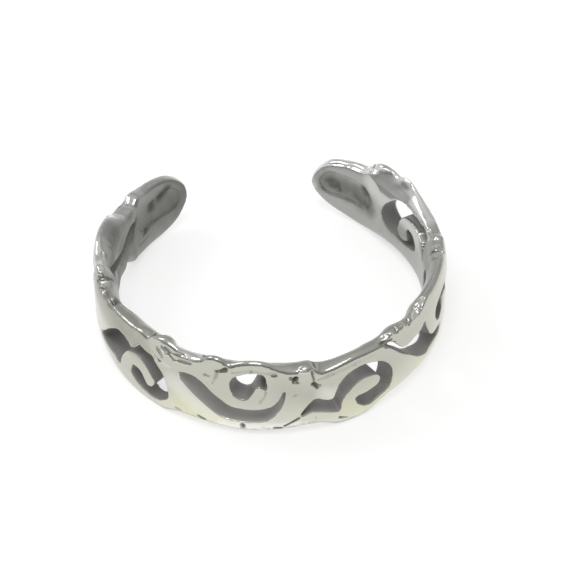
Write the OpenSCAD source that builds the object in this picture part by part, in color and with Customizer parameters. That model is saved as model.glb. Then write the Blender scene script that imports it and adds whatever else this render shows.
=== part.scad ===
// Open toe ring: one cast band, pierced with a running vine of spirals between two rounded terminals.
// The ring lies on its lower edge, its axis is +Z, its front is -Y and its gap is at +Y.
// The origin is the middle of the bore, where a toe goes.
// Angles run round the axis from the front, positive towards +X.

/* [Ring] */
// Inside diameter, where a toe goes
inside_d = 15.24; // [13:0.02:19]
// Wall thickness in the middle of the band
wall = 1.13; // [0.9:0.01:1.4]
// Wall thickness at the upper and lower edges
edge_wall = 0.5; // [0.4:0.01:0.75]
// Angle of the gap between the two terminals
gap_angle = 49.5; // [30:0.5:60]

/* [Band] */
// Width of the band, from its lowest lobe to its usual upper lobes
band_w = 4.8; // [4.2:0.05:6]
// How far the outside falls back towards its edges
dome = 0.08; // [0.02:0.01:0.15]
// Width of the straight bore along the middle of the inside
land_w = 2.16; // [1.6:0.02:2.4]
// Width of the rounding between the bore and each thin edge
rounding_w = 1.12; // [0.8:0.02:1.2]

/* [Terminals] */
// Angle that each plain terminal takes up
terminal_angle = 24.75; // [22:0.25:30]
// Wall thickness of each terminal where its inside falls back most
terminal_wall = 0.65; // [0.55:0.01:0.8]
// Angle from there to where the inside meets the bore again
thinning_angle = 23; // [18:0.5:26]
// Depth of the blank sunk field inside each terminal
recess_depth = 0.12; // [0.05:0.01:0.3]
// Angle that the sunk field takes up
recess_angle = 23; // [16:0.5:24]
// Height of the sunk field
recess_h = 1.6; // [0.8:0.05:2]

/* [Knobs] */
// Diameter of the largest knob, where two spirals meet
knob_d = 0.9; // [0.5:0.02:1]
// How far a knob stands out from the band
knob_rise = 0.08; // [0.02:0.01:0.2]

/* [Hidden] */
$fn = 180;

inside_r = inside_d / 2;
outside_r = inside_r + wall;
edge_r = outside_r - edge_wall;
// Radius of the rounding, and the steps that it is drawn in
round_r = (pow(rounding_w, 2) + pow(edge_r - inside_r, 2)) / (2 * (edge_r - inside_r));
round_steps = 4;
// Height of the middle of the bore above the lowest lobe, as a share of the width
middle_share = 0.485;

arc_angle = 360 - gap_angle;
units = 6;
pitch = (arc_angle - 2 * terminal_angle) / units;
// The inside of a terminal is part of a smaller round, with its own middle: its reach from the
// ring's axis, the place of its middle and its radius
thin_reach = outside_r - terminal_wall;
thin_mid = (arc_angle - 0.8 * terminal_angle) / 2;
thin_off = (pow(thin_reach, 2) - pow(inside_r, 2)) / (2 * (thin_reach - inside_r * cos(thinning_angle)));
thin_r = thin_reach - thin_off;
// How far a cutter runs past the wall, the radii that this gives, and its reach past the edges
overshoot = 0.5;
cut_in = inside_r - overshoot;
cut_out = outside_r + overshoot;
cut_past = band_w;

// The edges' outlines. Each row: pitches from the front junction, height as a share of the width
top_edge = [
    [-3.569, 0.48], [-3.557, 0.56], [-3.541, 0.605], [-3.516, 0.645], [-3.475, 0.70], [-3.43, 0.74],
    [-3.37, 0.78], [-3.27, 0.81], [-3.16, 0.825], [-3.08, 0.84], [-3.03, 0.86], [-2.99, 0.87],
    [-2.95, 0.82], [-2.92, 0.80], [-2.87, 0.83], [-2.75, 0.83], [-2.69, 0.88], [-2.62, 0.94],
    [-2.53, 0.97], [-2.41, 0.98], [-2.30, 0.96], [-2.21, 0.92], [-2.11, 0.93], [-2.05, 0.96],
    [-2.00, 0.91], [-1.95, 0.855], [-1.88, 0.83], [-1.75, 0.85], [-1.60, 0.87], [-1.45, 0.89],
    [-1.37, 0.895], [-1.30, 0.915], [-1.24, 0.92], [-1.195, 0.89], [-1.165, 0.92], [-1.12, 0.965],
    [-1.06, 0.99], [-0.99, 0.985], [-0.93, 0.955], [-0.88, 0.915], [-0.84, 0.89], [-0.76, 0.905],
    [-0.70, 0.935], [-0.66, 0.98], [-0.61, 1.00], [-0.56, 0.98], [-0.52, 0.935], [-0.48, 0.93],
    [-0.43, 0.97], [-0.36, 0.995], [-0.29, 1.005], [-0.22, 0.98], [-0.16, 0.935], [-0.09, 0.895],
    [-0.02, 0.875], [0.02, 0.87], [0.05, 0.89], [0.085, 0.90], [0.12, 0.88], [0.15, 0.835],
    [0.19, 0.81], [0.25, 0.82], [0.33, 0.845], [0.40, 0.865], [0.48, 0.88], [0.57, 0.875],
    [0.67, 0.87], [0.72, 0.875], [0.76, 0.90], [0.82, 0.925], [0.89, 0.92], [0.95, 0.91],
    [1.02, 0.895], [1.07, 0.915], [1.12, 0.90], [1.16, 0.91], [1.20, 0.95], [1.28, 0.965],
    [1.40, 0.96], [1.54, 0.98], [1.65, 0.975], [1.75, 0.955], [1.84, 0.91], [1.93, 0.91],
    [2.00, 0.90], [2.08, 0.885], [2.18, 0.90], [2.30, 0.91], [2.40, 0.93], [2.48, 0.96],
    [2.55, 1.00], [2.61, 1.025], [2.67, 1.01], [2.725, 0.97], [2.80, 0.985], [2.90, 0.985],
    [2.95, 0.965], [2.99, 0.93], [3.02, 0.87], [3.06, 0.835], [3.12, 0.815], [3.22, 0.80],
    [3.33, 0.77], [3.417, 0.735], [3.466, 0.685], [3.499, 0.63], [3.533, 0.57], [3.557, 0.51],
    [3.569, 0.45],
];
bottom_edge = [
    [-3.569, 0.44], [-3.557, 0.36], [-3.533, 0.29], [-3.499, 0.21], [-3.45, 0.135], [-3.38, 0.08],
    [-3.28, 0.04], [-3.15, 0.015], [-3.02, 0.0], [-2.95, 0.005], [-2.91, 0.03], [-2.87, 0.08],
    [-2.80, 0.12], [-2.72, 0.15], [-2.62, 0.17], [-2.42, 0.175], [-2.20, 0.14], [-1.98, 0.085],
    [-1.80, 0.045], [-1.60, 0.015], [-1.42, 0.0], [-1.08, 0.0], [-1.03, 0.025], [-0.97, 0.055],
    [-0.91, 0.083],
    [-0.80, 0.088], [-0.68, 0.08], [-0.57, 0.065], [-0.45, 0.052], [-0.34, 0.052], [-0.22, 0.063],
    [-0.11, 0.077], [0.0, 0.097], [0.10, 0.11], [0.18, 0.10], [0.24, 0.07], [0.30, 0.03],
    [0.36, 0.005], [0.52, 0.005], [0.60, 0.03], [0.65, 0.06], [0.71, 0.095], [0.78, 0.12],
    [0.88, 0.128], [1.03, 0.13], [1.14, 0.115], [1.27, 0.095], [1.50, 0.08], [1.75, 0.085],
    [2.00, 0.10], [2.17, 0.11], [2.30, 0.09], [2.42, 0.06], [2.55, 0.025], [2.68, 0.003],
    [2.92, 0.003], [3.08, 0.025], [3.22, 0.065], [3.34, 0.11], [3.425, 0.17], [3.491, 0.25],
    [3.541, 0.34], [3.569, 0.43],
];

// The openings. Each row: one edge's place along its unit and height, then the opposite edge's,
// places as shares of the pitch and heights as shares of the width
drop_slot = [
    [0.11, 0.65, 0.12, 0.62], [0.17, 0.70, 0.18, 0.57], [0.24, 0.705, 0.25, 0.53],
    [0.31, 0.665, 0.31, 0.52], [0.37, 0.615, 0.37, 0.50], [0.43, 0.585, 0.43, 0.49],
    [0.52, 0.60, 0.53, 0.51], [0.61, 0.65, 0.63, 0.55], [0.70, 0.72, 0.72, 0.61],
    [0.79, 0.78, 0.81, 0.68], [0.88, 0.84, 0.90, 0.75], [0.94, 0.86, 0.95, 0.81],
];
wide_slot = [
    [0.10, 0.24, 0.11, 0.20], [0.19, 0.35, 0.20, 0.20], [0.29, 0.50, 0.30, 0.21],
    [0.39, 0.62, 0.38, 0.22], [0.46, 0.69, 0.45, 0.18], [0.52, 0.70, 0.47, 0.29],
    [0.57, 0.69, 0.51, 0.40], [0.61, 0.64, 0.57, 0.51], [0.63, 0.61, 0.62, 0.55],
    [0.69, 0.71, 0.68, 0.58], [0.73, 0.76, 0.72, 0.58], [0.79, 0.73, 0.77, 0.54],
    [0.85, 0.71, 0.82, 0.46], [0.93, 0.59, 0.86, 0.38], [0.97, 0.49, 0.87, 0.34],
    [1.00, 0.30, 0.85, 0.27], [0.98, 0.19, 0.81, 0.23], [0.87, 0.09, 0.77, 0.27],
    [0.76, 0.11, 0.74, 0.35], [0.67, 0.16, 0.69, 0.39], [0.60, 0.25, 0.63, 0.37],
];
arch_slot = [
    [0.10, 0.68, 0.11, 0.62], [0.16, 0.71, 0.15, 0.56], [0.24, 0.70, 0.20, 0.49],
    [0.31, 0.63, 0.28, 0.39], [0.37, 0.54, 0.36, 0.30], [0.44, 0.46, 0.43, 0.23],
    [0.51, 0.39, 0.52, 0.20], [0.60, 0.37, 0.61, 0.19], [0.70, 0.37, 0.70, 0.20],
    [0.79, 0.40, 0.77, 0.22], [0.85, 0.46, 0.84, 0.30], [0.88, 0.54, 0.89, 0.41],
    [0.90, 0.61, 0.91, 0.52], [0.91, 0.65, 0.92, 0.65],
];
bean_slot = [
    [0.51, 0.72, 0.51, 0.66], [0.53, 0.79, 0.53, 0.57], [0.58, 0.84, 0.58, 0.52],
    [0.63, 0.87, 0.63, 0.52], [0.68, 0.88, 0.66, 0.56], [0.72, 0.88, 0.69, 0.65],
    [0.75, 0.87, 0.71, 0.70], [0.77, 0.83, 0.73, 0.71], [0.78, 0.75, 0.76, 0.68],
    [0.78, 0.67, 0.77, 0.65],
];
hook_slot = [
    [0.03, 0.27, 0.035, 0.25], [0.13, 0.47, 0.12, 0.30], [0.21, 0.43, 0.22, 0.26],
    [0.27, 0.41, 0.33, 0.21], [0.295, 0.46, 0.345, 0.30], [0.31, 0.54, 0.365, 0.38],
    [0.36, 0.66, 0.395, 0.44], [0.43, 0.73, 0.46, 0.53], [0.52, 0.75, 0.52, 0.56],
    [0.60, 0.73, 0.57, 0.56], [0.69, 0.67, 0.635, 0.53], [0.76, 0.57, 0.675, 0.48],
    [0.80, 0.46, 0.68, 0.43], [0.81, 0.34, 0.67, 0.38], [0.78, 0.24, 0.625, 0.355],
    [0.71, 0.17, 0.575, 0.34], [0.62, 0.125, 0.53, 0.335], [0.535, 0.15, 0.485, 0.335],
    [0.48, 0.22, 0.46, 0.31],
];
tall_slot = [
    [-0.26, 0.855, -0.26, 0.82], [-0.21, 0.85, -0.21, 0.76], [-0.16, 0.78, -0.16, 0.68],
    [-0.09, 0.66, -0.09, 0.57], [-0.01, 0.635, 0.0, 0.46], [0.08, 0.65, 0.08, 0.35],
    [0.15, 0.66, 0.15, 0.27], [0.20, 0.72, 0.23, 0.21], [0.23, 0.615, 0.29, 0.18],
    [0.28, 0.48, 0.36, 0.15], [0.34, 0.36, 0.43, 0.145], [0.44, 0.32, 0.49, 0.18],
    [0.52, 0.31, 0.54, 0.25],
];
curl_slot = [
    [0.45, 0.43, 0.49, 0.40], [0.41, 0.52, 0.54, 0.44], [0.395, 0.61, 0.57, 0.52],
    [0.42, 0.69, 0.57, 0.60], [0.49, 0.73, 0.58, 0.65], [0.59, 0.74, 0.61, 0.635],
    [0.68, 0.73, 0.68, 0.58], [0.77, 0.71, 0.75, 0.51], [0.84, 0.645, 0.80, 0.43],
    [0.88, 0.54, 0.86, 0.42],
];
snail_slot = [
    [-0.04, 0.66, -0.01, 0.60], [0.02, 0.83, 0.05, 0.71], [0.11, 0.855, 0.12, 0.755],
    [0.21, 0.85, 0.21, 0.765], [0.31, 0.84, 0.30, 0.765], [0.41, 0.84, 0.39, 0.75],
    [0.50, 0.85, 0.47, 0.715], [0.58, 0.835, 0.515, 0.665], [0.65, 0.79, 0.54, 0.605],
    [0.70, 0.73, 0.555, 0.545], [0.75, 0.66, 0.565, 0.50], [0.79, 0.56, 0.57, 0.47],
    [0.79, 0.46, 0.55, 0.42], [0.74, 0.375, 0.515, 0.39], [0.67, 0.33, 0.48, 0.39],
    [0.57, 0.325, 0.455, 0.395], [0.47, 0.335, 0.425, 0.42], [0.37, 0.375, 0.39, 0.46],
    [0.285, 0.425, 0.415, 0.52], [0.235, 0.49, 0.42, 0.57], [0.245, 0.56, 0.39, 0.62],
    [0.28, 0.61, 0.32, 0.63],
];
// Each row: unit that the opening belongs to, its outline
openings = [
    [0, drop_slot], [1, wide_slot], [2, arch_slot], [2, bean_slot], [3, hook_slot],
    [4, tall_slot], [4, curl_slot], [5, snail_slot],
];

// Knobs on the upper edge. Each row: pitches from the front junction, height as a share of the
// width, size as a share of the largest knob
knobs = [
    [-3.00, 0.81, 0.70], [-2.04, 0.87, 0.90], [-1.03, 0.905, 1.00], [0.07, 0.82, 0.90],
    [1.02, 0.83, 0.90], [1.97, 0.83, 1.00], [2.98, 0.86, 0.80],
];

// One value of a smooth curve through four neighbouring values, at share t of the middle stretch
function curve(a, b, c, d, t) =
    b + 0.5 * t * (c - a + t * (2 * a - 5 * b + 4 * c - d + t * (3 * (b - c) + d - a)));

// The rows of a table, with further rows on a smooth curve between each two
function smooth(rows, steps) = let(last = len(rows) - 1) [
    for (i = [0 : last - 1], s = [0 : steps - 1])
        curve(rows[max(i - 1, 0)], rows[i], rows[i + 1], rows[min(i + 2, last)], s / steps),
    rows[last]
];

// A point at an angle from the front, a radius and a height
function place(angle, r, z) = [r * sin(angle), -r * cos(angle), z];

// Two faces for each side of a tube of four-cornered rings, and two for each of its ends
function ring_faces(rings) = [
    for (i = [0 : rings - 2], k = [0 : 3]) let(
        a = 4 * i + k,
        b = 4 * i + (k + 1) % 4
    ) each [[a, a + 4, b], [b, a + 4, b + 4]],
    [0, 1, 2],
    [0, 2, 3],
    each let(e = 4 * (rings - 1)) [[e, e + 2, e + 1], [e, e + 3, e + 2]]
];

// A radial cutter. Each row of its table: angle and height of one edge, then of the opposite edge
module radial_cutter(rows) {
    polyhedron(
        points = [for (r = rows) each [
            place(r[0], cut_in, r[1]),
            place(r[0], cut_out, r[1]),
            place(r[2], cut_out, r[3]),
            place(r[2], cut_in, r[3])
        ]],
        faces = ring_faces(len(rows)),
        convexity = 8
    );
}

// Height above the middle of the bore, from a share of the width above the lowest lobe
function level(share) = (share - middle_share) * band_w;

// Half of the inside's section from the straight bore to an edge, with side +1 up or -1 down
function inner_curve(side) = [
    for (i = [0 : round_steps]) let(t = asin(rounding_w / round_r) * i / round_steps)
        [inside_r + round_r * (1 - cos(t)), side * (land_w / 2 + round_r * sin(t))]
];

module section() {
    reach = band_w * 0.62;
    dome_z = band_w * 0.28;
    dome_edge_z = band_w * 0.4625;
    polygon([
        [edge_r, -reach],
        [outside_r - dome, -reach],
        [outside_r - dome, -dome_edge_z],
        [outside_r, -dome_z],
        [outside_r, dome_z],
        [outside_r - dome, dome_edge_z],
        [outside_r - dome, reach],
        [edge_r, reach],
        each [for (i = [round_steps : -1 : 0]) inner_curve(1)[i]],
        each inner_curve(-1)
    ]);
}

module blank_band() {
    rotate([0, 0, -90 - arc_angle / 2]) rotate_extrude(angle = arc_angle) section();
}

// Everything past one scalloped edge, on the far side given
module edge_cutter(table, far) {
    end = arc_angle / 2 + 2;
    rows = [
        [-end, level(table[0][1])],
        each smooth([for (r = table) [r[0] * pitch, level(r[1])]], 2),
        [end, level(table[len(table) - 1][1])]
    ];
    radial_cutter([for (r = rows) [r[0], max(r[1], far), r[0], min(r[1], far)]]);
}

module opening(unit, table) {
    start = (unit - units / 2) * pitch;
    radial_cutter(smooth([for (r = table) [
        start + r[0] * pitch, level(r[1]), start + r[2] * pitch, level(r[3])
    ]], 2));
}

// The round that thins the terminal at the side given, deepened by an amount over a height
module thinning(side, deepened, height) {
    translate(place(side * thin_mid, thin_off, -height / 2)) cylinder(r = thin_r + deepened, h = height);
}

// Blank sunk field with round ends, on the inside of the terminal at the side given
module sunk_field(side) {
    mid = side * (arc_angle - terminal_angle - 4) / 2;
    end_angle = (recess_angle - recess_h / thin_reach * 180 / PI) / 2;
    intersection() {
        thinning(side, recess_depth, 2 * recess_h);
        union() {
            rotate([0, 0, mid - 90 - end_angle]) rotate_extrude(angle = 2 * end_angle)
                translate([cut_in, -recess_h / 2]) square([cut_out - cut_in, recess_h]);
            for (turn = [-end_angle, end_angle])
                rotate([0, 0, mid + turn]) translate([0, -cut_in, 0]) rotate([90, 0, 0])
                    cylinder(d = recess_h, h = cut_out - cut_in);
        }
    }
}

module knob(along, height, size) {
    r = knob_d / 2 * size;
    centre_r = outside_r - dome + knob_rise - r;
    translate(place(along * pitch, centre_r, level(height))) sphere(r = r, $fn = 32);
}

module band() {
    color("silver") difference() {
        union() {
            difference() {
                blank_band();
                edge_cutter(top_edge, cut_past);
                edge_cutter(bottom_edge, -cut_past);
            }
            for (k = knobs) knob(k[0], k[1], k[2]);
        }
        for (o = openings) opening(o[0], o[1]);
        for (side = [-1, 1]) {
            thinning(side, 0, 2 * cut_past);
            sunk_field(side);
        }
    }
}

band();
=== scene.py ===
import math

import bmesh
import bpy
import numpy as np
from bpy.props import FloatProperty, FloatVectorProperty, IntProperty, PointerProperty
from mathutils import Matrix, Vector
from mathutils.bvhtree import BVHTree


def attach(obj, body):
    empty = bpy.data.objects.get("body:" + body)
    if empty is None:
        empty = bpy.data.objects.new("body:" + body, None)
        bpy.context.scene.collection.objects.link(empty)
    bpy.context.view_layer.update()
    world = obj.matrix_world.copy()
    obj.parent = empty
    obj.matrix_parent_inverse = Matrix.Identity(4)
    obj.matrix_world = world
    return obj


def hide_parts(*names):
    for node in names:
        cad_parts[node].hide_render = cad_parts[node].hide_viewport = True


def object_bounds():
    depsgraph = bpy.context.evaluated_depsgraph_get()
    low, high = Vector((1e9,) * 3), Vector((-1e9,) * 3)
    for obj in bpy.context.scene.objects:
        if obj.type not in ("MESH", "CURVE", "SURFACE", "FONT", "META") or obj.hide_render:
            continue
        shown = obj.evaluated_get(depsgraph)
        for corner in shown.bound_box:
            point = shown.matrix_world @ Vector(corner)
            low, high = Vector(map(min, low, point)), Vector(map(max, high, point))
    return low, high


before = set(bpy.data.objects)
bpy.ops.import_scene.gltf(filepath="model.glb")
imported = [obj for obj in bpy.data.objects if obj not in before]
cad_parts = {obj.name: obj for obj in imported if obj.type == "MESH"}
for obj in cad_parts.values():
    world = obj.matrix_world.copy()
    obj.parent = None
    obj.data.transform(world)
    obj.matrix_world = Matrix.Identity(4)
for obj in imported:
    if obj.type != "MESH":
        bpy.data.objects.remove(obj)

bl_info = {
    "name": "Pierced Vine Toe Ring",
    "version": (1, 0, 0),
    "blender": (4, 5, 0),
    "location": "3D View > Sidebar > Toe Ring",
    "description": "Dresses the packed toe ring as cast silver and sets the stage for its picture",
    "category": "Object",
}

MM = 0.001
CAD_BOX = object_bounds()
CAD_LOW, CAD_HIGH = CAD_BOX
OUTER_R = (CAD_HIGH.x - CAD_LOW.x) / 2 / MM
# Heights are given above the lowest lobe, and the frame's origin is the middle of the bore
LOWEST = CAD_LOW.z / MM
# Angle of one spiral of the vine, the measure that places along the band are given in, and its
# length round the outside in mm
PITCH = 43.5
ARC = math.radians(PITCH) * OUTER_R
# Degrees from the ring's front to the middle of what the camera sees
FACING = -8.0
# How many degrees round the band each side's bulge fades over
BULGE_SPREAD = 25
# Steps round the band that the heights of its edges are kept at
STEPS_PER_DEGREE = 4
STEPS = 360 * STEPS_PER_DEGREE
# Smooth waves that are added up to make the strokes' edges uneven
WAVES = 12
# Pixels along each side of the photograph that the camera was fitted to
PHOTO_PIXELS = 580

# Dents, ridges, stains and painted light. Each row: the side that it is on, start along in pitches and
# across in mm, end along and across, half width in mm, how far it stands out in mm, and how dark it is, or
# how bright where negative. The darkness is stains, and painted shade on some rows; the brightness is
# relief worn bright with painted highlights, and painted light on some rows. Across is the height above the
# lowest lobe, and on the rim the distance from the ring's axis
OUT, RIM, IN, CUT = "outside", "rim", "inside", "cut"
STROKES = [
    # Junction at the front
    [OUT, -0.590, 4.12, -0.520, 4.32, 0.14, -0.10, 0.8],
    [OUT, -0.580, 4.10, -0.620, 3.30, 0.12, -0.05, 0.35],
    [OUT, -0.680, 3.76, -0.640, 3.74, 0.11, -0.05, 0.4],
    [OUT, -0.175, 4.20, -0.145, 4.18, 0.09, -0.04, 0.4],
    [OUT, -0.020, 3.70, -0.005, 3.88, 0.15, -0.20, 0.9],
    [OUT, -0.045, 3.95, 0.010, 3.62, 0.10, -0.08, 0.6],
    [OUT, 0.118, 4.15, 0.128, 3.60, 0.09, -0.12, 0.6],
    [OUT, 0.125, 3.40, 0.150, 3.12, 0.16, -0.15, 0.8],
    [OUT, 0.110, 3.35, 0.175, 3.20, 0.10, -0.06, 0.5],
    [OUT, 0.030, 4.25, 0.075, 4.20, 0.10, 0.06, -0.3],
    [OUT, -0.022, 2.72, 0.000, 2.78, 0.09, -0.04, 0.4],
    [OUT, -0.100, 3.30, 0.100, 2.60, 0.90, 0.0, 0.10],
    # Grooves along the arcs beside it
    [OUT, -0.470, 4.22, -0.330, 4.42, 0.10, -0.03, 0.22],
    [OUT, -0.330, 4.42, -0.150, 4.26, 0.10, -0.03, 0.22],
    [OUT, 0.160, 3.60, 0.280, 3.76, 0.13, -0.03, 0.25],
    [OUT, 0.280, 3.76, 0.450, 3.92, 0.12, -0.02, 0.18],
    [OUT, 0.450, 3.92, 0.640, 3.94, 0.12, -0.02, 0.12],
    # Nicks at the lower edge, and places at and above it painted brighter as painted light
    [OUT, -0.745, 0.68, -0.700, 0.50, 0.13, -0.12, 0.9],
    [OUT, -0.400, 0.62, -0.400, 0.48, 0.17, -0.10, 0.8],
    [OUT, -0.160, 0.52, -0.120, 0.50, 0.11, -0.10, 0.8],
    [OUT, 0.335, 0.52, 0.400, 0.33, 0.11, -0.10, 0.75],
    [OUT, -0.935, 0.62, -0.900, 0.58, 0.10, -0.05, 0.5],
    [OUT, -0.090, 0.66, 0.020, 1.16, 0.09, -0.10, 0.85],
    [OUT, -0.225, 3.05, -0.235, 2.75, 0.08, -0.05, 0.5],
    [OUT, -0.235, 2.75, -0.270, 2.35, 0.08, -0.03, 0.3],
    [OUT, -0.920, 2.40, -0.620, 0.80, 0.80, 0.0, -0.35],
    [OUT, -0.560, 0.40, 0.050, 0.50, 0.60, 0.0, -0.95],
    [OUT, 0.200, 0.40, 0.500, 0.20, 0.40, 0.0, -0.20],
    [OUT, 0.200, 2.60, 0.280, 2.30, 0.55, 0.0, -0.40],
    # Leaves at the junction on the front left, with painted highlights on their ridges
    [OUT, -1.040, 4.45, -0.990, 4.25, 0.16, 0.09, -0.4],
    [OUT, -0.990, 4.25, -0.930, 3.98, 0.14, 0.08, -0.4],
    [OUT, -0.930, 3.98, -0.840, 4.02, 0.12, 0.06, -0.3],
    [OUT, -1.010, 4.58, -0.960, 4.38, 0.10, -0.07, 0.4],
    [OUT, -0.960, 4.38, -0.840, 4.42, 0.09, -0.06, 0.3],
    [OUT, -1.085, 4.20, -1.040, 3.80, 0.14, -0.06, 0.3],
    [OUT, -1.130, 3.80, -1.060, 3.48, 0.15, 0.06, -0.2],
    [OUT, -1.060, 3.48, -0.980, 3.42, 0.12, 0.05, -0.2],
    [OUT, -0.890, 4.12, -0.790, 4.18, 0.09, -0.04, 0.3],
    [OUT, -1.170, 3.95, -1.130, 3.45, 0.22, -0.04, 0.2],
    # Knobs and rings at the junction on the front right, with painted highlights
    [OUT, 0.700, 4.26, 0.790, 4.20, 0.10, -0.12, 0.8],
    [OUT, 0.740, 4.02, 0.820, 3.92, 0.12, -0.10, 0.7],
    [RIM, 0.760, 8.30, 0.800, 8.52, 0.16, 0.08, -0.5],
    [RIM, 0.855, 8.62, 0.870, 8.35, 0.08, -0.07, 0.5],
    [RIM, 0.925, 8.50, 0.935, 8.40, 0.18, 0.05, -0.1],
    [RIM, 0.990, 8.66, 1.005, 8.45, 0.07, -0.08, 0.5],
    [RIM, 1.060, 8.62, 1.115, 8.46, 0.20, -0.07, -0.6],
    [RIM, 1.150, 8.25, 1.150, 8.38, 0.08, 0.03, 0.4],
    [RIM, 1.170, 8.60, 1.225, 8.40, 0.20, -0.07, -0.6],
    # Junction on the left, with a painted highlight
    [RIM, -2.000, 8.60, -1.995, 8.40, 0.14, 0.08, -0.4],
    [RIM, -1.965, 8.75, -1.955, 8.05, 0.08, -0.14, 0.9],
    [RIM, -1.890, 8.60, -1.880, 8.48, 0.10, -0.10, 0.7],
    [RIM, -1.840, 8.55, -1.780, 8.58, 0.08, -0.08, 0.6],
    [RIM, -1.735, 8.30, -1.670, 8.35, 0.20, -0.14, 0.8],
    [RIM, -1.700, 8.72, -1.650, 8.70, 0.14, -0.05, 0.5],
    [RIM, -2.220, 8.22, -2.060, 8.14, 0.10, -0.05, 0.6],
    # Knob on the right, with painted highlights
    [RIM, 2.100, 8.02, 2.000, 8.06, 0.12, -0.06, -0.6],
    [RIM, 1.990, 8.42, 1.980, 8.52, 0.28, 0.10, -0.1],
    [RIM, 1.890, 8.25, 1.885, 8.35, 0.15, -0.05, -0.8],
    [RIM, 1.825, 8.20, 1.800, 8.75, 0.13, -0.16, 1.0],
    [RIM, 1.760, 8.15, 1.730, 8.30, 0.12, -0.04, 0.4],
    # Knobs where the terminals begin, with painted highlights
    [RIM, -2.970, 8.54, -2.935, 8.40, 0.12, 0.06, -0.8],
    [RIM, -2.930, 8.66, -2.840, 8.60, 0.10, -0.08, 0.7],
    [RIM, -2.860, 8.50, -2.650, 8.54, 0.09, 0.04, -0.4],
    [RIM, -2.440, 8.55, -2.435, 8.55, 0.08, 0.03, -0.6],
    [RIM, 2.920, 8.20, 2.800, 8.36, 0.14, 0.05, -0.6],
    [RIM, 2.660, 8.44, 2.560, 8.46, 0.10, 0.04, -0.5],
    [RIM, 3.010, 8.10, 3.000, 8.60, 0.12, -0.08, 0.4],
    # Rims worn bright and painted as highlights, and the inside below the right one painted brighter as
    # painted light
    [RIM, 3.450, 8.15, 2.950, 8.25, 0.40, 0.0, -0.9],
    [RIM, 3.450, 8.06, 2.950, 8.12, 0.28, -0.09, -0.9],
    [RIM, 2.200, 7.98, 2.450, 8.00, 0.35, 0.0, -0.7],
    [RIM, 2.200, 8.45, 2.750, 8.50, 0.35, 0.0, -0.9],
    [RIM, -2.330, 8.35, -2.030, 8.30, 0.50, 0.0, -0.8],
    [RIM, -0.920, 8.20, -0.700, 7.95, 0.45, 0.0, -0.7],
    [RIM, -0.860, 8.45, -0.740, 8.50, 0.25, 0.0, -0.8],
    [RIM, -0.350, 8.35, -0.050, 8.35, 0.45, 0.0, -0.2],
    [IN, 2.100, 3.50, 2.950, 3.60, 0.90, 0.0, -0.35],
    # Dark patina inside the left terminal and beside it
    [IN, -3.500, 2.00, -2.500, 2.30, 2.20, 0.0, 0.60],
    [IN, -2.500, 4.20, -2.080, 3.90, 1.00, 0.0, 0.50],
    [RIM, -3.500, 8.25, -3.050, 8.30, 0.90, 0.0, 0.15],
    [IN, -3.200, 2.80, -3.180, 2.55, 0.58, 0.0, 1.0],
    [IN, -3.360, 3.15, -3.300, 2.90, 0.58, 0.0, 1.0],
    [IN, -2.900, 3.15, -2.780, 2.50, 0.36, -0.05, 0.8],
    [IN, -2.780, 2.50, -2.520, 2.10, 0.30, -0.04, 0.75],
    [IN, -2.520, 2.10, -2.360, 2.40, 0.20, -0.03, 0.6],
    [IN, -3.000, 1.45, -3.180, 1.60, 0.14, -0.04, 0.8],
    [IN, -2.960, 1.10, -3.100, 1.00, 0.12, -0.04, 0.7],
    [IN, -2.960, 1.28, -3.150, 1.32, 0.08, 0.03, -0.5],
    # Dark patina inside the right terminal and beside it
    [IN, 3.440, 2.38, 3.000, 2.00, 0.95, 0.0, 0.60],
    [IN, 3.430, 2.45, 3.350, 2.30, 0.50, 0.0, 0.85],
    [IN, 3.160, 2.00, 3.020, 1.80, 0.45, 0.0, 0.75],
    [IN, 3.400, 2.15, 3.330, 2.10, 0.42, 0.0, 0.9],
    [IN, 3.060, 2.85, 2.980, 2.40, 0.42, 0.0, 0.85],
    [IN, 3.550, 2.00, 3.520, 3.00, 0.35, 0.0, -0.4],
    [IN, 2.450, 2.40, 2.600, 2.20, 0.60, 0.0, 0.3],
    [IN, 1.750, 3.60, 2.050, 3.40, 0.70, 0.0, 0.3],
    # Walls of the openings painted paler as painted light where light reaches them, and three painted
    # darker as painted shade
    [CUT, -0.850, 3.20, -0.600, 1.60, 0.90, 0.0, -1.0],
    [CUT, -0.600, 1.60, -0.350, 0.95, 0.90, 0.0, -1.0],
    [CUT, -0.350, 0.95, -0.100, 1.60, 0.90, 0.0, -1.0],
    [CUT, 0.080, 1.60, 0.400, 1.60, 1.20, 0.0, -0.55],
    [CUT, -0.360, 2.80, -0.360, 3.60, 0.80, 0.0, -0.35],
    [CUT, 0.950, 1.40, 1.300, 1.10, 0.90, 0.0, -0.25],
    [CUT, 1.400, 3.20, 1.520, 2.00, 0.90, 0.0, 0.9],
    [CUT, 2.250, 2.60, 2.700, 2.20, 1.50, 0.0, 0.50],
    [CUT, 0.740, 3.00, 0.780, 1.50, 0.70, 0.0, 0.40],
    # Duller left side
    [OUT, -1.950, 3.70, -1.300, 3.60, 1.30, 0.0, 0.38],
]
# Places where the inside is worn. Each row: middle along in pitches and height in mm, half length
# in pitches and half height in mm, and how much thinner the wall is in mm
WORN = [
    [-2.76, 0.75, 0.11, 1.3, 0.34],
    [-2.60, 0.8, 0.24, 1.5, 0.10],
    [-1.75, 4.2, 0.30, 2.4, 0.24],
    [-0.90, 4.0, 0.25, 1.3, 0.10],
    [0.42, 3.9, 0.35, 1.4, 0.20],
    [0.72, 3.7, 0.16, 1.4, 0.12],
    [1.02, 3.7, 0.21, 1.4, 0.29],
    [1.50, 3.6, 0.42, 1.6, 0.17],
]


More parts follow.
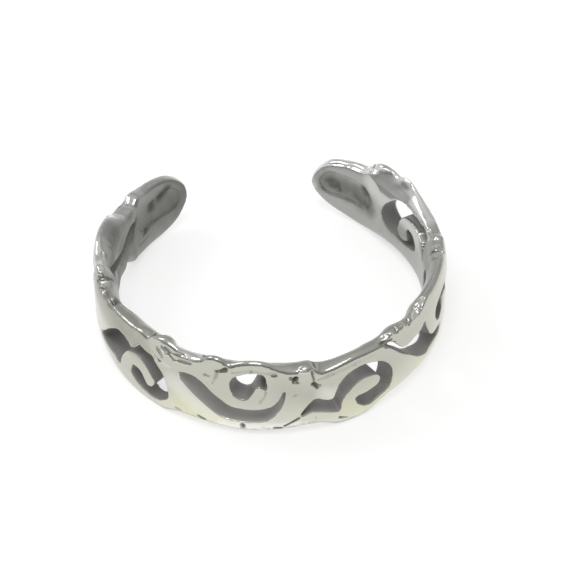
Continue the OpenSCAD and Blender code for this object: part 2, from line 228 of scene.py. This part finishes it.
def edge_heights(points, outward, top):
    """Height of one edge of the band at every step round it, from the outside's points."""
    wall = outward > 0.5
    angle = np.degrees(np.arctan2(points[wall, 0], -points[wall, 1]))
    slots = np.round((angle + 180) * STEPS_PER_DEGREE).astype(int) % STEPS
    heights = np.full(STEPS, np.nan)
    pick = np.fmax if top else np.fmin
    pick.at(heights, slots, points[wall, 2] - LOWEST)
    known = ~np.isnan(heights)
    places = np.arange(STEPS)
    return np.interp(places, places[known], heights[known], period=STEPS)


def edge_at(heights, along):
    """The edge's height at places along the band."""
    steps = (along * PITCH + 180) * STEPS_PER_DEGREE
    return np.interp(steps, np.arange(STEPS), heights, period=STEPS)


def evaluated(source, *changes):
    """A new mesh of the source mesh with modifiers applied. Each change: its type and its settings."""
    worker = bpy.data.objects.new("worker", source)
    bpy.context.scene.collection.objects.link(worker)
    for kind, settings in changes:
        modifier = worker.modifiers.new(kind.lower(), kind)
        for key, value in settings.items():
            setattr(modifier, key, value)
    depsgraph = bpy.context.evaluated_depsgraph_get()
    made = bpy.data.meshes.new_from_object(worker.evaluated_get(depsgraph))
    bpy.data.objects.remove(worker)
    return made


def points_of(mesh):
    """The mesh's vertices as an array."""
    flat = np.zeros(len(mesh.vertices) * 3, np.float32)
    mesh.vertices.foreach_get("co", flat)
    return flat.reshape(-1, 3).astype(float)


def normals_of(mesh):
    """The mesh's vertex normals as an array."""
    flat = np.zeros(len(mesh.vertices) * 3, np.float32)
    mesh.vertex_normals.foreach_get("vector", flat)
    return flat.reshape(-1, 3).astype(float)


def edges_of(mesh):
    """The two vertices of each edge of the mesh, as an array."""
    flat = np.zeros(len(mesh.edges) * 2, np.int32)
    mesh.edges.foreach_get("vertices", flat)
    return flat.reshape(-1, 2)


def set_points(mesh, points):
    """Puts the mesh's vertices at the points."""
    mesh.vertices.foreach_set("co", points.astype(np.float32).ravel())
    mesh.update()


def smooth_step(low, high, values):
    """0 at the low value and 1 at the high one, smooth between them. Low may be the larger one."""
    share = np.clip((values - low) / (high - low), 0, 1)
    return share * share * (3 - 2 * share)


def soften(points, edges, weights, passes):
    """Moves each point towards the middle of its neighbours, by its weight, a number of times."""
    first, second = edges.T
    count = len(points)
    degree = np.bincount(first, minlength=count) + np.bincount(second, minlength=count)
    for _ in range(passes):
        middle = np.empty_like(points)
        for k in range(3):
            middle[:, k] = np.bincount(first, points[second, k], count)
            middle[:, k] += np.bincount(second, points[first, k], count)
        points += weights[:, None] * (middle / degree[:, None] - points)


class Wall:
    """Where each point lies on the unrolled band, and which way its surface faces."""

    def __init__(self, mesh):
        self.points = points_of(mesh)
        self.normals = normals_of(mesh)
        x, y, z = self.points.T
        self.radius = np.hypot(x, y)
        self.along = np.degrees(np.arctan2(x, -y)) / PITCH
        self.height = z - LOWEST
        self.outward = (self.normals[:, :2] * self.points[:, :2]).sum(1) / self.radius
        self.top = edge_heights(self.points, self.outward, True)
        self.bottom = edge_heights(self.points, self.outward, False)
        # Smooth waves about a millimetre long, which make the strokes' edges uneven
        waves = np.random.default_rng(7).normal(0, 1, (WAVES, 3))
        waves *= 9 / np.linalg.norm(waves, axis=1)[:, None]
        self.ripple = np.sin(self.points @ waves.T + np.arange(WAVES)).sum(1) / 14
        across = 1 - smooth_step(0.4, 0.75, np.abs(self.outward))
        upper = smooth_step(0.7, 0.4, self.below_top())
        self.sides = {
            OUT: smooth_step(0.1, 0.5, self.outward),
            IN: smooth_step(0.1, 0.5, -self.outward),
            RIM: smooth_step(0.25, 0.6, self.normals[:, 2]) * upper,
            CUT: across * (1 - upper) * smooth_step(0.2, 0.4, self.above_bottom()),
        }

    def below_top(self):
        return edge_at(self.top, self.along) - self.height

    def above_bottom(self):
        return self.height - edge_at(self.bottom, self.along)

    def cover(self, row, across):
        """How much a stroke covers each point: 1 on its line, falling to 0 at its half width."""
        along0, across0, along1, across1, half_width = row[:5]
        step = np.array([(along1 - along0) * ARC, across1 - across0])
        offset = np.stack([(self.along - along0) * ARC, across - across0], 1)
        share = np.clip(offset @ step / max(step @ step, 1e-9), 0, 1)
        distance = np.linalg.norm(offset - share[:, None] * step, axis=1)
        distance += self.ripple * min(half_width, 0.2)
        return np.clip(1 - (distance / half_width) ** 2, 0, 1)


def strokes_on(wall):
    """The strokes' lift, their darkening by stains and painted shade, and their brightening by worn relief
    and painted highlights, over the points.
    """
    lift, stain_and_shade, rubbed_and_highlight = np.zeros((3, len(wall.points)))
    for side, *row in STROKES:
        cover = wall.cover(row, wall.radius if side == RIM else wall.height) * wall.sides[side]
        lift += row[5] * cover**2
        stain_and_shade = np.maximum(stain_and_shade, row[6] * cover)
        rubbed_and_highlight = np.maximum(rubbed_and_highlight, -row[6] * cover)
    # Darkening from stains and painted shade; brightening from worn relief and painted highlights
    return lift, stain_and_shade, rubbed_and_highlight * (1 - stain_and_shade)


def worn_on(wall):
    """How far the inside has worn back over the points."""
    worn = np.zeros(len(wall.points))
    for along, height, half_along, half_height, depth in WORN:
        offset = np.hypot((wall.along - along) / half_along, (wall.height - height) / half_height)
        worn += depth * smooth_step(1, 0.2, offset)
    return worn * smooth_step(0.2, -0.3, wall.outward)


def pierced_share(mesh, wall, reach, rays, spread):
    """1 on the walls of the openings: what faces across the band with more metal opposite.

    Each point sends out a fan of rays, the reach in millimetres long and the spread in degrees wide.
    """
    tree = BVHTree.FromPolygons([v.co for v in mesh.vertices], [p.vertices for p in mesh.polygons])
    fan = [math.radians((i / (rays - 1) - 0.5) * spread) for i in range(rays)]
    turns = [(math.cos(t), math.sin(t)) for t in fan]
    closed = np.zeros(len(mesh.vertices))
    for index in np.flatnonzero(np.abs(wall.outward) < 0.85):
        vertex = mesh.vertices[index]
        x, y, _ = vertex.co
        across = Vector((-y, x, 0)).normalized()
        facing = Vector((0, 0, vertex.normal.z)) + across * vertex.normal.dot(across)
        facing.normalize()
        other = facing.cross(Vector((x, y, 0)).normalized())
        start = vertex.co + vertex.normal * 0.02
        ends = [tree.ray_cast(start, facing * c + other * s, reach)[0] for c, s in turns]
        hits = sum(end is not None for end in ends)
        closed[index] = hits / rays
    not_inside = smooth_step(-0.62, -0.38, wall.outward)
    not_outside = smooth_step(0.7, 0.42, wall.outward)
    return smooth_step(0.3, 0.7, closed) * not_inside * not_outside


def write_values(mesh, name, values):
    """Keeps a number for each vertex under a name that the material reads."""
    layer = mesh.attributes.new(name, "FLOAT", "POINT")
    layer.data.foreach_set("value", values.astype(np.float32))


def band_solid():
    """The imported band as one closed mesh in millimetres."""
    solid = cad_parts["band"].data.copy()
    solid.transform(Matrix.Scale(1 / MM, 4))
    work = bmesh.new()
    work.from_mesh(solid)
    bmesh.ops.remove_doubles(work, verts=work.verts, dist=0.0005)
    work.to_mesh(solid)
    work.free()
    return solid


class Value:
    """A shader socket that takes part in Python arithmetic, each sum adding its Math node."""

    def __init__(self, tree, socket):
        self.tree = tree
        self.socket = socket

    def node(self, kind, settings=None, values=None, out=0):
        return add_node(self.tree, kind, settings, values, out)

    def math(self, operation, *others):
        values = {0: self}
        for i, other in enumerate(others):
            values[i + 1] = other
        return self.node("ShaderNodeMath", {"operation": operation}, values)

    def __add__(self, other):
        return self.math("ADD", other)

    __radd__ = __add__

    def __mul__(self, other):
        return self.math("MULTIPLY", other)

    __rmul__ = __mul__

    def __sub__(self, other):
        return self.math("SUBTRACT", other)

    def __rsub__(self, other):
        return self.node("ShaderNodeMath", {"operation": "SUBTRACT"}, {0: other, 1: self})

    def clamped(self):
        return self.node("ShaderNodeClamp", None, {0: self})

    def ramp(self, low, high):
        """0 below the low value and 1 above the high one, smooth between them."""
        settings = {"interpolation_type": "SMOOTHSTEP"}
        return self.node("ShaderNodeMapRange", settings, {"Value": self, "From Min": low, "From Max": high})


def add_node(tree, kind, settings=None, values=None, out=0):
    """Adds a node. Settings are its own, set first; values go to its sockets, by name or place."""
    node = tree.nodes.new(kind)
    for key, value in (settings or {}).items():
        setattr(node, key, value)
    for key, value in (values or {}).items():
        if isinstance(value, Value):
            tree.links.new(value.socket, node.inputs[key])
        else:
            node.inputs[key].default_value = value
    return Value(tree, node.outputs[out])


def mix_colour(tree, mask, first, second):
    """A colour between two, by a mask."""
    settings = {"data_type": "RGBA"}
    return add_node(tree, "ShaderNodeMix", settings, {0: mask, 6: first, 7: second}, 2)


def linear(colour, alpha=1.0):
    """A colour as the shader's four numbers."""
    return (*colour, alpha)


def silver_material(look):
    """Cast silver: polished outside, rougher inside painted darker as shade, greyer rims and a darker upper
    part as painted shade, painted highlights and painted light, dark where it is pierced or dented.
    """
    material = bpy.data.materials.new("cast_silver")
    material.use_nodes = True
    tree = material.node_tree
    tree.nodes.clear()
    place = add_node(tree, "ShaderNodeTexCoord", out=3)
    pierced, inner, stain_and_shade, rubbed_and_highlight, low, rim, back = [
        add_node(tree, "ShaderNodeAttribute", {"attribute_name": name}, out=2)
        for name in ("pierced", "inner", "stain_and_shade", "rubbed_and_highlight", "low", "rim", "back")
    ]
    cloud = add_node(tree, "ShaderNodeTexNoise", None, {"Vector": place, "Scale": 260.0, "Detail": 3.0})
    fine = add_node(tree, "ShaderNodeTexNoise", None, {"Vector": place, "Scale": 2600.0, "Detail": 4.0})
    blotch = add_node(tree, "ShaderNodeTexNoise", None, {"Vector": place, "Scale": 900.0, "Detail": 3.0})
    warm = cloud.ramp(0.35, 0.65)
    outside = mix_colour(tree, warm, linear(look.silver), linear(look.warm_silver))
    # Painted shade and reflection: the upper part and the left side darker, the lower outside brighter
    outside = mix_colour(tree, low, linear(look.shaded_upper_silver), outside)
    # Painted shade: rims that face up greyer
    outside = mix_colour(tree, rim, outside, linear(look.shaded_rim_silver))
    outside = mix_colour(tree, back, outside, linear(look.back_silver))
    # Painted shade: the inside darker
    metal = mix_colour(tree, inner, outside, linear(look.shaded_inside_silver))
    # Painted highlights, partly relief worn bright
    metal = mix_colour(tree, rubbed_and_highlight, metal, linear(look.rubbed_and_highlight_silver))
    # Stains, with painted shade along the lower edge and on darker opening walls
    mottled = (stain_and_shade * (0.55 + blotch * 0.9)).clamped()
    stained_and_shaded = mix_colour(tree, mottled, metal, linear(look.tarnish_and_shade))
    # Painted light on the paler opening walls
    walls = mix_colour(tree, rubbed_and_highlight, linear(look.oxide), linear(look.painted_lit_oxide))
    # Painted shade on three darker opening walls
    walls = mix_colour(tree, mottled * 0.6, walls, linear(look.tarnish_and_shade))
    colour = mix_colour(tree, pierced, stained_and_shaded, walls)
    polish = 0.13 + warm * 0.05 + fine * 0.06
    roughness = polish + pierced * 0.4 + inner * 0.18 + stain_and_shade * 0.3 - rubbed_and_highlight * 0.08
    relief = {"Strength": 0.5, "Distance": 0.004 * MM, "Height": fine + cloud * 2.0}
    bump = add_node(tree, "ShaderNodeBump", None, relief)
    shader = add_node(tree, "ShaderNodeBsdfPrincipled", None, {
        "Base Color": colour,
        "Roughness": roughness.clamped(),
        "Metallic": 1.0 - pierced * 0.9,
        "Normal": bump,
    })
    tree.links.new(shader.socket, tree.nodes.new("ShaderNodeOutputMaterial").inputs["Surface"])
    return material


class RingLook(bpy.types.PropertyGroup):
    """Sizes and colours of the ring's finish."""

    voxel: FloatProperty(
        name="Grain of the mesh", description="Voxel size of the fine mesh, in millimetres",
        default=0.05, min=0.03, max=0.2,
    )
    rounding: IntProperty(
        name="Polish", description="Passes of smoothing that round the cast edges",
        default=6, min=0, max=30,
    )
    rim_rounding: IntProperty(
        name="Rim polish", description="Further passes on the upper and lower edges",
        default=55, min=0, max=90,
    )
    regrowth: FloatProperty(
        name="Rim regrowth", description="What the edges get back after the polish, in millimetres",
        default=0.10, min=0.0, max=0.3,
    )
    waviness: FloatProperty(
        name="Waviness", description="Height of the cast surface's soft waves, in millimetres",
        default=0.006, min=0.0, max=0.02,
    )
    side_bulge: FloatProperty(
        name="Side bulge", description="How far the sides stand out from a true circle, in millimetres",
        default=0.2, min=0.0, max=0.25,
    )
    # Painted shade: darkens the lower outside edge, standing for the shadowed floor beside the ring that it
    # reflects
    painted_edge_shade: FloatProperty(
        name="Edge tarnish", description="How dark the lower edge has tarnished",
        default=0.4, min=0.0, max=1.0,
    )
    faces: IntProperty(
        name="Triangles", description="Triangles of the finished band",
        default=190000, min=20000, max=199000,
    )
    silver: FloatVectorProperty(
        name="Silver", description="Polished silver on the outside", subtype="COLOR",
        default=(0.68, 0.675, 0.60), min=0, max=1,
    )
    # Painted shade: the upper outside and the left side take this darker silver, and the lower outside
    # keeps the brighter one as a painted reflection of the floor
    shaded_upper_silver: FloatVectorProperty(
        name="Dull silver", description="Silver of the band's upper part", subtype="COLOR",
        default=(0.52, 0.515, 0.45), min=0, max=1,
    )
    # Painted shade: rims that face up are painted greyer than the wall
    shaded_rim_silver: FloatVectorProperty(
        name="Rim silver", description="Greyer silver of the rims", subtype="COLOR",
        default=(0.49, 0.49, 0.455), min=0, max=1,
    )
    back_silver: FloatVectorProperty(
        name="Back silver", description="Neutral silver towards the gap", subtype="COLOR",
        default=(0.66, 0.66, 0.65), min=0, max=1,
    )
    # Painted highlights on the relief and rims, partly relief worn bright
    rubbed_and_highlight_silver: FloatVectorProperty(
        name="Rubbed silver", description="Bright silver where the relief is rubbed", subtype="COLOR",
        default=(0.90, 0.90, 0.88), min=0, max=1,
    )
    warm_silver: FloatVectorProperty(
        name="Warm silver", description="Silver where it has yellowed a little", subtype="COLOR",
        default=(0.71, 0.71, 0.50), min=0, max=1,
    )
    # Painted shade: the inside is painted darker than the outside
    shaded_inside_silver: FloatVectorProperty(
        name="Inside silver", description="Duller silver of the inside", subtype="COLOR",
        default=(0.38, 0.38, 0.365), min=0, max=1,
    )
    # Tarnish in the dents, and also painted shade along the lower edge and on three opening walls
    tarnish_and_shade: FloatVectorProperty(
        name="Tarnish", description="Dark tarnish in the dents", subtype="COLOR",
        default=(0.10, 0.10, 0.085), min=0, max=1,
    )
    oxide: FloatVectorProperty(
        name="Oxide", description="Matte grey sulphide on the walls of the openings", subtype="COLOR",
        default=(0.275, 0.27, 0.26), min=0, max=1,
    )
    # Painted light on the opening walls that light reaches
    painted_lit_oxide: FloatVectorProperty(
        name="Pale oxide", description="Paler grey on the walls that light reaches", subtype="COLOR",
        default=(0.45, 0.44, 0.415), min=0, max=1,
    )


class StageLook(bpy.types.PropertyGroup):
    """The floor, the light and the camera."""

    azimuth: FloatProperty(
        name="Camera azimuth", description="Camera's angle round the ring", subtype="ANGLE",
        default=math.radians(FACING),
    )
    elevation: FloatProperty(
        name="Camera elevation", description="Camera's angle above the floor", subtype="ANGLE",
        default=math.radians(44.0),
    )
    roll: FloatProperty(
        name="Camera roll", description="Camera's turn about its own line of sight", subtype="ANGLE",
        default=math.radians(-0.8),
    )
    distance: FloatProperty(
        name="Camera distance", description="From the ring's axis to the camera",
        unit="LENGTH", default=0.119,
    )
    zenith: FloatProperty(
        name="Light overhead", description="Strength of the room's light from above",
        default=0.88, min=0,
    )
    horizon: FloatProperty(
        name="Light at the horizon", description="Strength of the room's light from the sides",
        default=0.20, min=0,
    )
    backdrop: FloatProperty(
        name="Backdrop", description="Strength of the pale wall behind the ring",
        default=0.65, min=0,
    )
    light_table: FloatProperty(
        name="Light table", description="Light that the floor gives by itself",
        default=0.56, min=0,
    )
    key: FloatProperty(
        name="Soft box", description="Power of the soft box above, in watts",
        default=0.24, min=0,
    )
    side: FloatProperty(
        name="Side box", description="Power of the soft box at the back left, in watts",
        default=0.14, min=0,
    )


class RING_OT_cast_band(bpy.types.Operator):
    """Makes the cast band: a fine mesh of the solid with rounded edges, dents and grooves"""

    bl_idname = "toe_ring.cast_band"
    bl_label = "Cast band"

    def execute(self, context):
        look = context.scene.ring_look
        fine = evaluated(band_solid(), ("REMESH", {"mode": "VOXEL", "voxel_size": look.voxel}))
        self.round_edges(fine, look)
        wall = Wall(fine)
        lift = strokes_on(wall)[0] + look.waviness * wall.ripple
        points = wall.points + wall.normals * lift[:, None]
        points[:, :2] *= (1 + worn_on(wall) / wall.radius)[:, None]
        turn = np.abs(wall.along * PITCH - FACING) - 90
        bulge = look.side_bulge * np.exp(-(turn / BULGE_SPREAD) ** 2)
        points[:, :2] *= (1 + bulge / OUTER_R)[:, None]
        set_points(fine, points)
        ratio = look.faces / (2 * len(fine.polygons))
        band = evaluated(fine, ("DECIMATE", {"ratio": min(ratio, 1.0)}))
        wall = Wall(band)
        _, stain_and_shade, rubbed_and_highlight = strokes_on(wall)
        # Painted shade along the lower outside edge
        edge = smooth_step(0.25, 0.05, wall.above_bottom())
        painted_edge_shade = look.painted_edge_shade * edge * wall.sides[OUT]
        write_values(band, "stain_and_shade", np.maximum(stain_and_shade, painted_edge_shade))
        write_values(band, "rubbed_and_highlight", rubbed_and_highlight)
        # Painted reflection: 1 on the lower outside, which keeps the brighter silver; the rest is painted
        # darker
        low = smooth_step(2.8, 0.4, wall.height) * smooth_step(-1.5, -0.9, wall.along)
        write_values(band, "low", low)
        # Painted shade on the rims
        write_values(band, "rim", 0.85 * wall.sides[RIM])
        write_values(band, "back", 0.8 * smooth_step(1.7, 2.6, np.abs(wall.along)))
        pierced = pierced_share(band, wall, reach=2.6, rays=7, spread=110)
        write_values(band, "pierced", pierced)
        # Painted shade: the inside darker
        write_values(band, "inner", smooth_step(0.35, 0.9, -wall.outward))
        band.transform(Matrix.Scale(MM, 4))
        band.shade_smooth()
        band.materials.clear()
        band.materials.append(silver_material(look))
        piece = bpy.data.objects.new("cast_band", band)
        context.scene.collection.objects.link(piece)
        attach(piece, "root")
        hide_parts("band")
        return {"FINISHED"}

    def round_edges(self, mesh, look):
        """Rounds every edge a little, and the upper and lower edges more."""
        edges = edges_of(mesh)
        points = points_of(mesh)
        soften(points, edges, np.full(len(points), 0.5), look.rounding)
        set_points(mesh, points)
        wall = Wall(mesh)
        upper = smooth_step(0.55, 0.25, wall.below_top())
        lower = smooth_step(0.45, 0.2, wall.above_bottom())
        near = np.maximum(upper, lower)
        soften(points, edges, 0.5 * near, look.rim_rounding)
        set_points(mesh, points)
        normals = normals_of(mesh)
        radial = points[:, :2] / np.hypot(*points[:, :2].T)[:, None]
        normals[:, :2] -= (normals[:, :2] * radial).sum(1)[:, None] * radial
        set_points(mesh, points + normals * (near * look.regrowth)[:, None])


class RING_OT_stage(bpy.types.Operator):
    """Sets the pale floor, the soft light and the camera"""

    bl_idname = "toe_ring.stage"
    bl_label = "Stage"

    def execute(self, context):
        look = context.scene.stage_look
        scene = context.scene
        scene.view_settings.view_transform = "Standard"
        scene.collection.objects.link(self.floor(look))
        scene.world = self.room(look)
        self.soft_box(scene, "soft_box", (-20, 72), look.key)
        self.soft_box(scene, "side_box", (-125, 45), look.side)
        scene.camera = self.camera(scene, look)
        return {"FINISHED"}

    def room(self, look):
        """A world that is brighter overhead than at the horizon, with a pale wall at the back."""
        world = bpy.data.worlds.new("studio")
        world.use_nodes = True
        tree = world.node_tree
        tree.nodes.clear()
        direction = add_node(tree, "ShaderNodeTexCoord", out=0)
        back = add_node(tree, "ShaderNodeSeparateXYZ", None, {0: direction}, 1)
        up = add_node(tree, "ShaderNodeSeparateXYZ", None, {0: direction}, 2)
        backdrop = back.ramp(-0.45, 0.15) * (1.0 - up.ramp(0.15, 0.6))
        strength = look.horizon + up.clamped() * (look.zenith - look.horizon) + backdrop * look.backdrop
        background = add_node(tree, "ShaderNodeBackground", None, {"Strength": strength})
        tree.links.new(background.socket, tree.nodes.new("ShaderNodeOutputWorld").inputs["Surface"])
        return world

    def floor(self, look):
        """A wide pale floor under the ring."""
        half = 0.6
        z = CAD_LOW.z
        corners = [(-half, -half, z), (half, -half, z), (half, half, z), (-half, half, z)]
        mesh = bpy.data.meshes.new("floor")
        mesh.from_pydata(corners, [], [(0, 1, 2, 3)])
        material = bpy.data.materials.new("pale_floor")
        material.use_nodes = True
        shader = material.node_tree.nodes["Principled BSDF"]
        shader.inputs["Base Color"].default_value = (0.55, 0.55, 0.548, 1.0)
        shader.inputs["Roughness"].default_value = 0.9
        shader.inputs["Emission Color"].default_value = (1.0, 1.0, 1.0, 1.0)
        shader.inputs["Emission Strength"].default_value = look.light_table
        mesh.materials.append(material)
        floor = bpy.data.objects.new("floor", mesh)
        return floor

    def towards(self, azimuth, elevation):
        """Unit direction from the ring to a place round it, with 0 azimuth in front."""
        level = math.cos(elevation)
        return Vector((math.sin(azimuth) * level, -math.cos(azimuth) * level, math.sin(elevation)))

    def soft_box(self, scene, name, degrees, power, distance=0.30, size=0.12):
        """A square lamp that faces the ring, at an azimuth and a height above the floor."""
        lamp = bpy.data.lights.new(name, "AREA")
        lamp.shape = "SQUARE"
        lamp.size = size
        lamp.energy = power
        box = bpy.data.objects.new(name, lamp)
        back = self.towards(*[math.radians(d) for d in degrees])
        box.location = back * distance
        box.rotation_mode = "QUATERNION"
        box.rotation_quaternion = (-back).to_track_quat("-Z", "Y")
        scene.collection.objects.link(box)

    def camera(self, scene, look):
        """The camera, fitted to the ring's outline in the photograph."""
        data = bpy.data.cameras.new("camera")
        data.sensor_width = 36.0
        data.lens = 143.15
        data.shift_x = 19.7 / PHOTO_PIXELS
        data.shift_y = 18.3 / PHOTO_PIXELS
        data.clip_start, data.clip_end = 0.01, 5.0
        camera = bpy.data.objects.new("camera", data)
        back = self.towards(look.azimuth, look.elevation)
        aim = Vector((0, 0, CAD_LOW.z + 0.275 * MM))
        turn = (-back).to_track_quat("-Z", "Y").to_matrix().to_4x4()
        place = Matrix.Translation(aim + back * look.distance)
        camera.matrix_world = place @ turn @ Matrix.Rotation(look.roll, 4, "Z")
        scene.collection.objects.link(camera)
        return camera


class RING_PT_panel(bpy.types.Panel):
    """The ring's pieces, sizes and colours"""

    bl_label = "Toe Ring"
    bl_idname = "RING_PT_panel"
    bl_space_type = "VIEW_3D"
    bl_region_type = "UI"
    bl_category = "Toe Ring"

    def draw(self, context):
        for look in (context.scene.ring_look, context.scene.stage_look):
            for name in look.__annotations__:
                self.layout.prop(look, name)
        for operator in PIECES:
            self.layout.operator(operator.bl_idname)


PIECES = (RING_OT_cast_band, RING_OT_stage)
CLASSES = (RingLook, StageLook, *PIECES, RING_PT_panel)


def register():
    for cls in CLASSES:
        bpy.utils.register_class(cls)
    bpy.types.Scene.ring_look = PointerProperty(type=RingLook)
    bpy.types.Scene.stage_look = PointerProperty(type=StageLook)


def unregister():
    del bpy.types.Scene.stage_look
    del bpy.types.Scene.ring_look
    for cls in reversed(CLASSES):
        bpy.utils.unregister_class(cls)


def main():
    register()
    bpy.ops.toe_ring.cast_band()
    bpy.ops.toe_ring.stage()


if __name__ == "__main__":
    main()
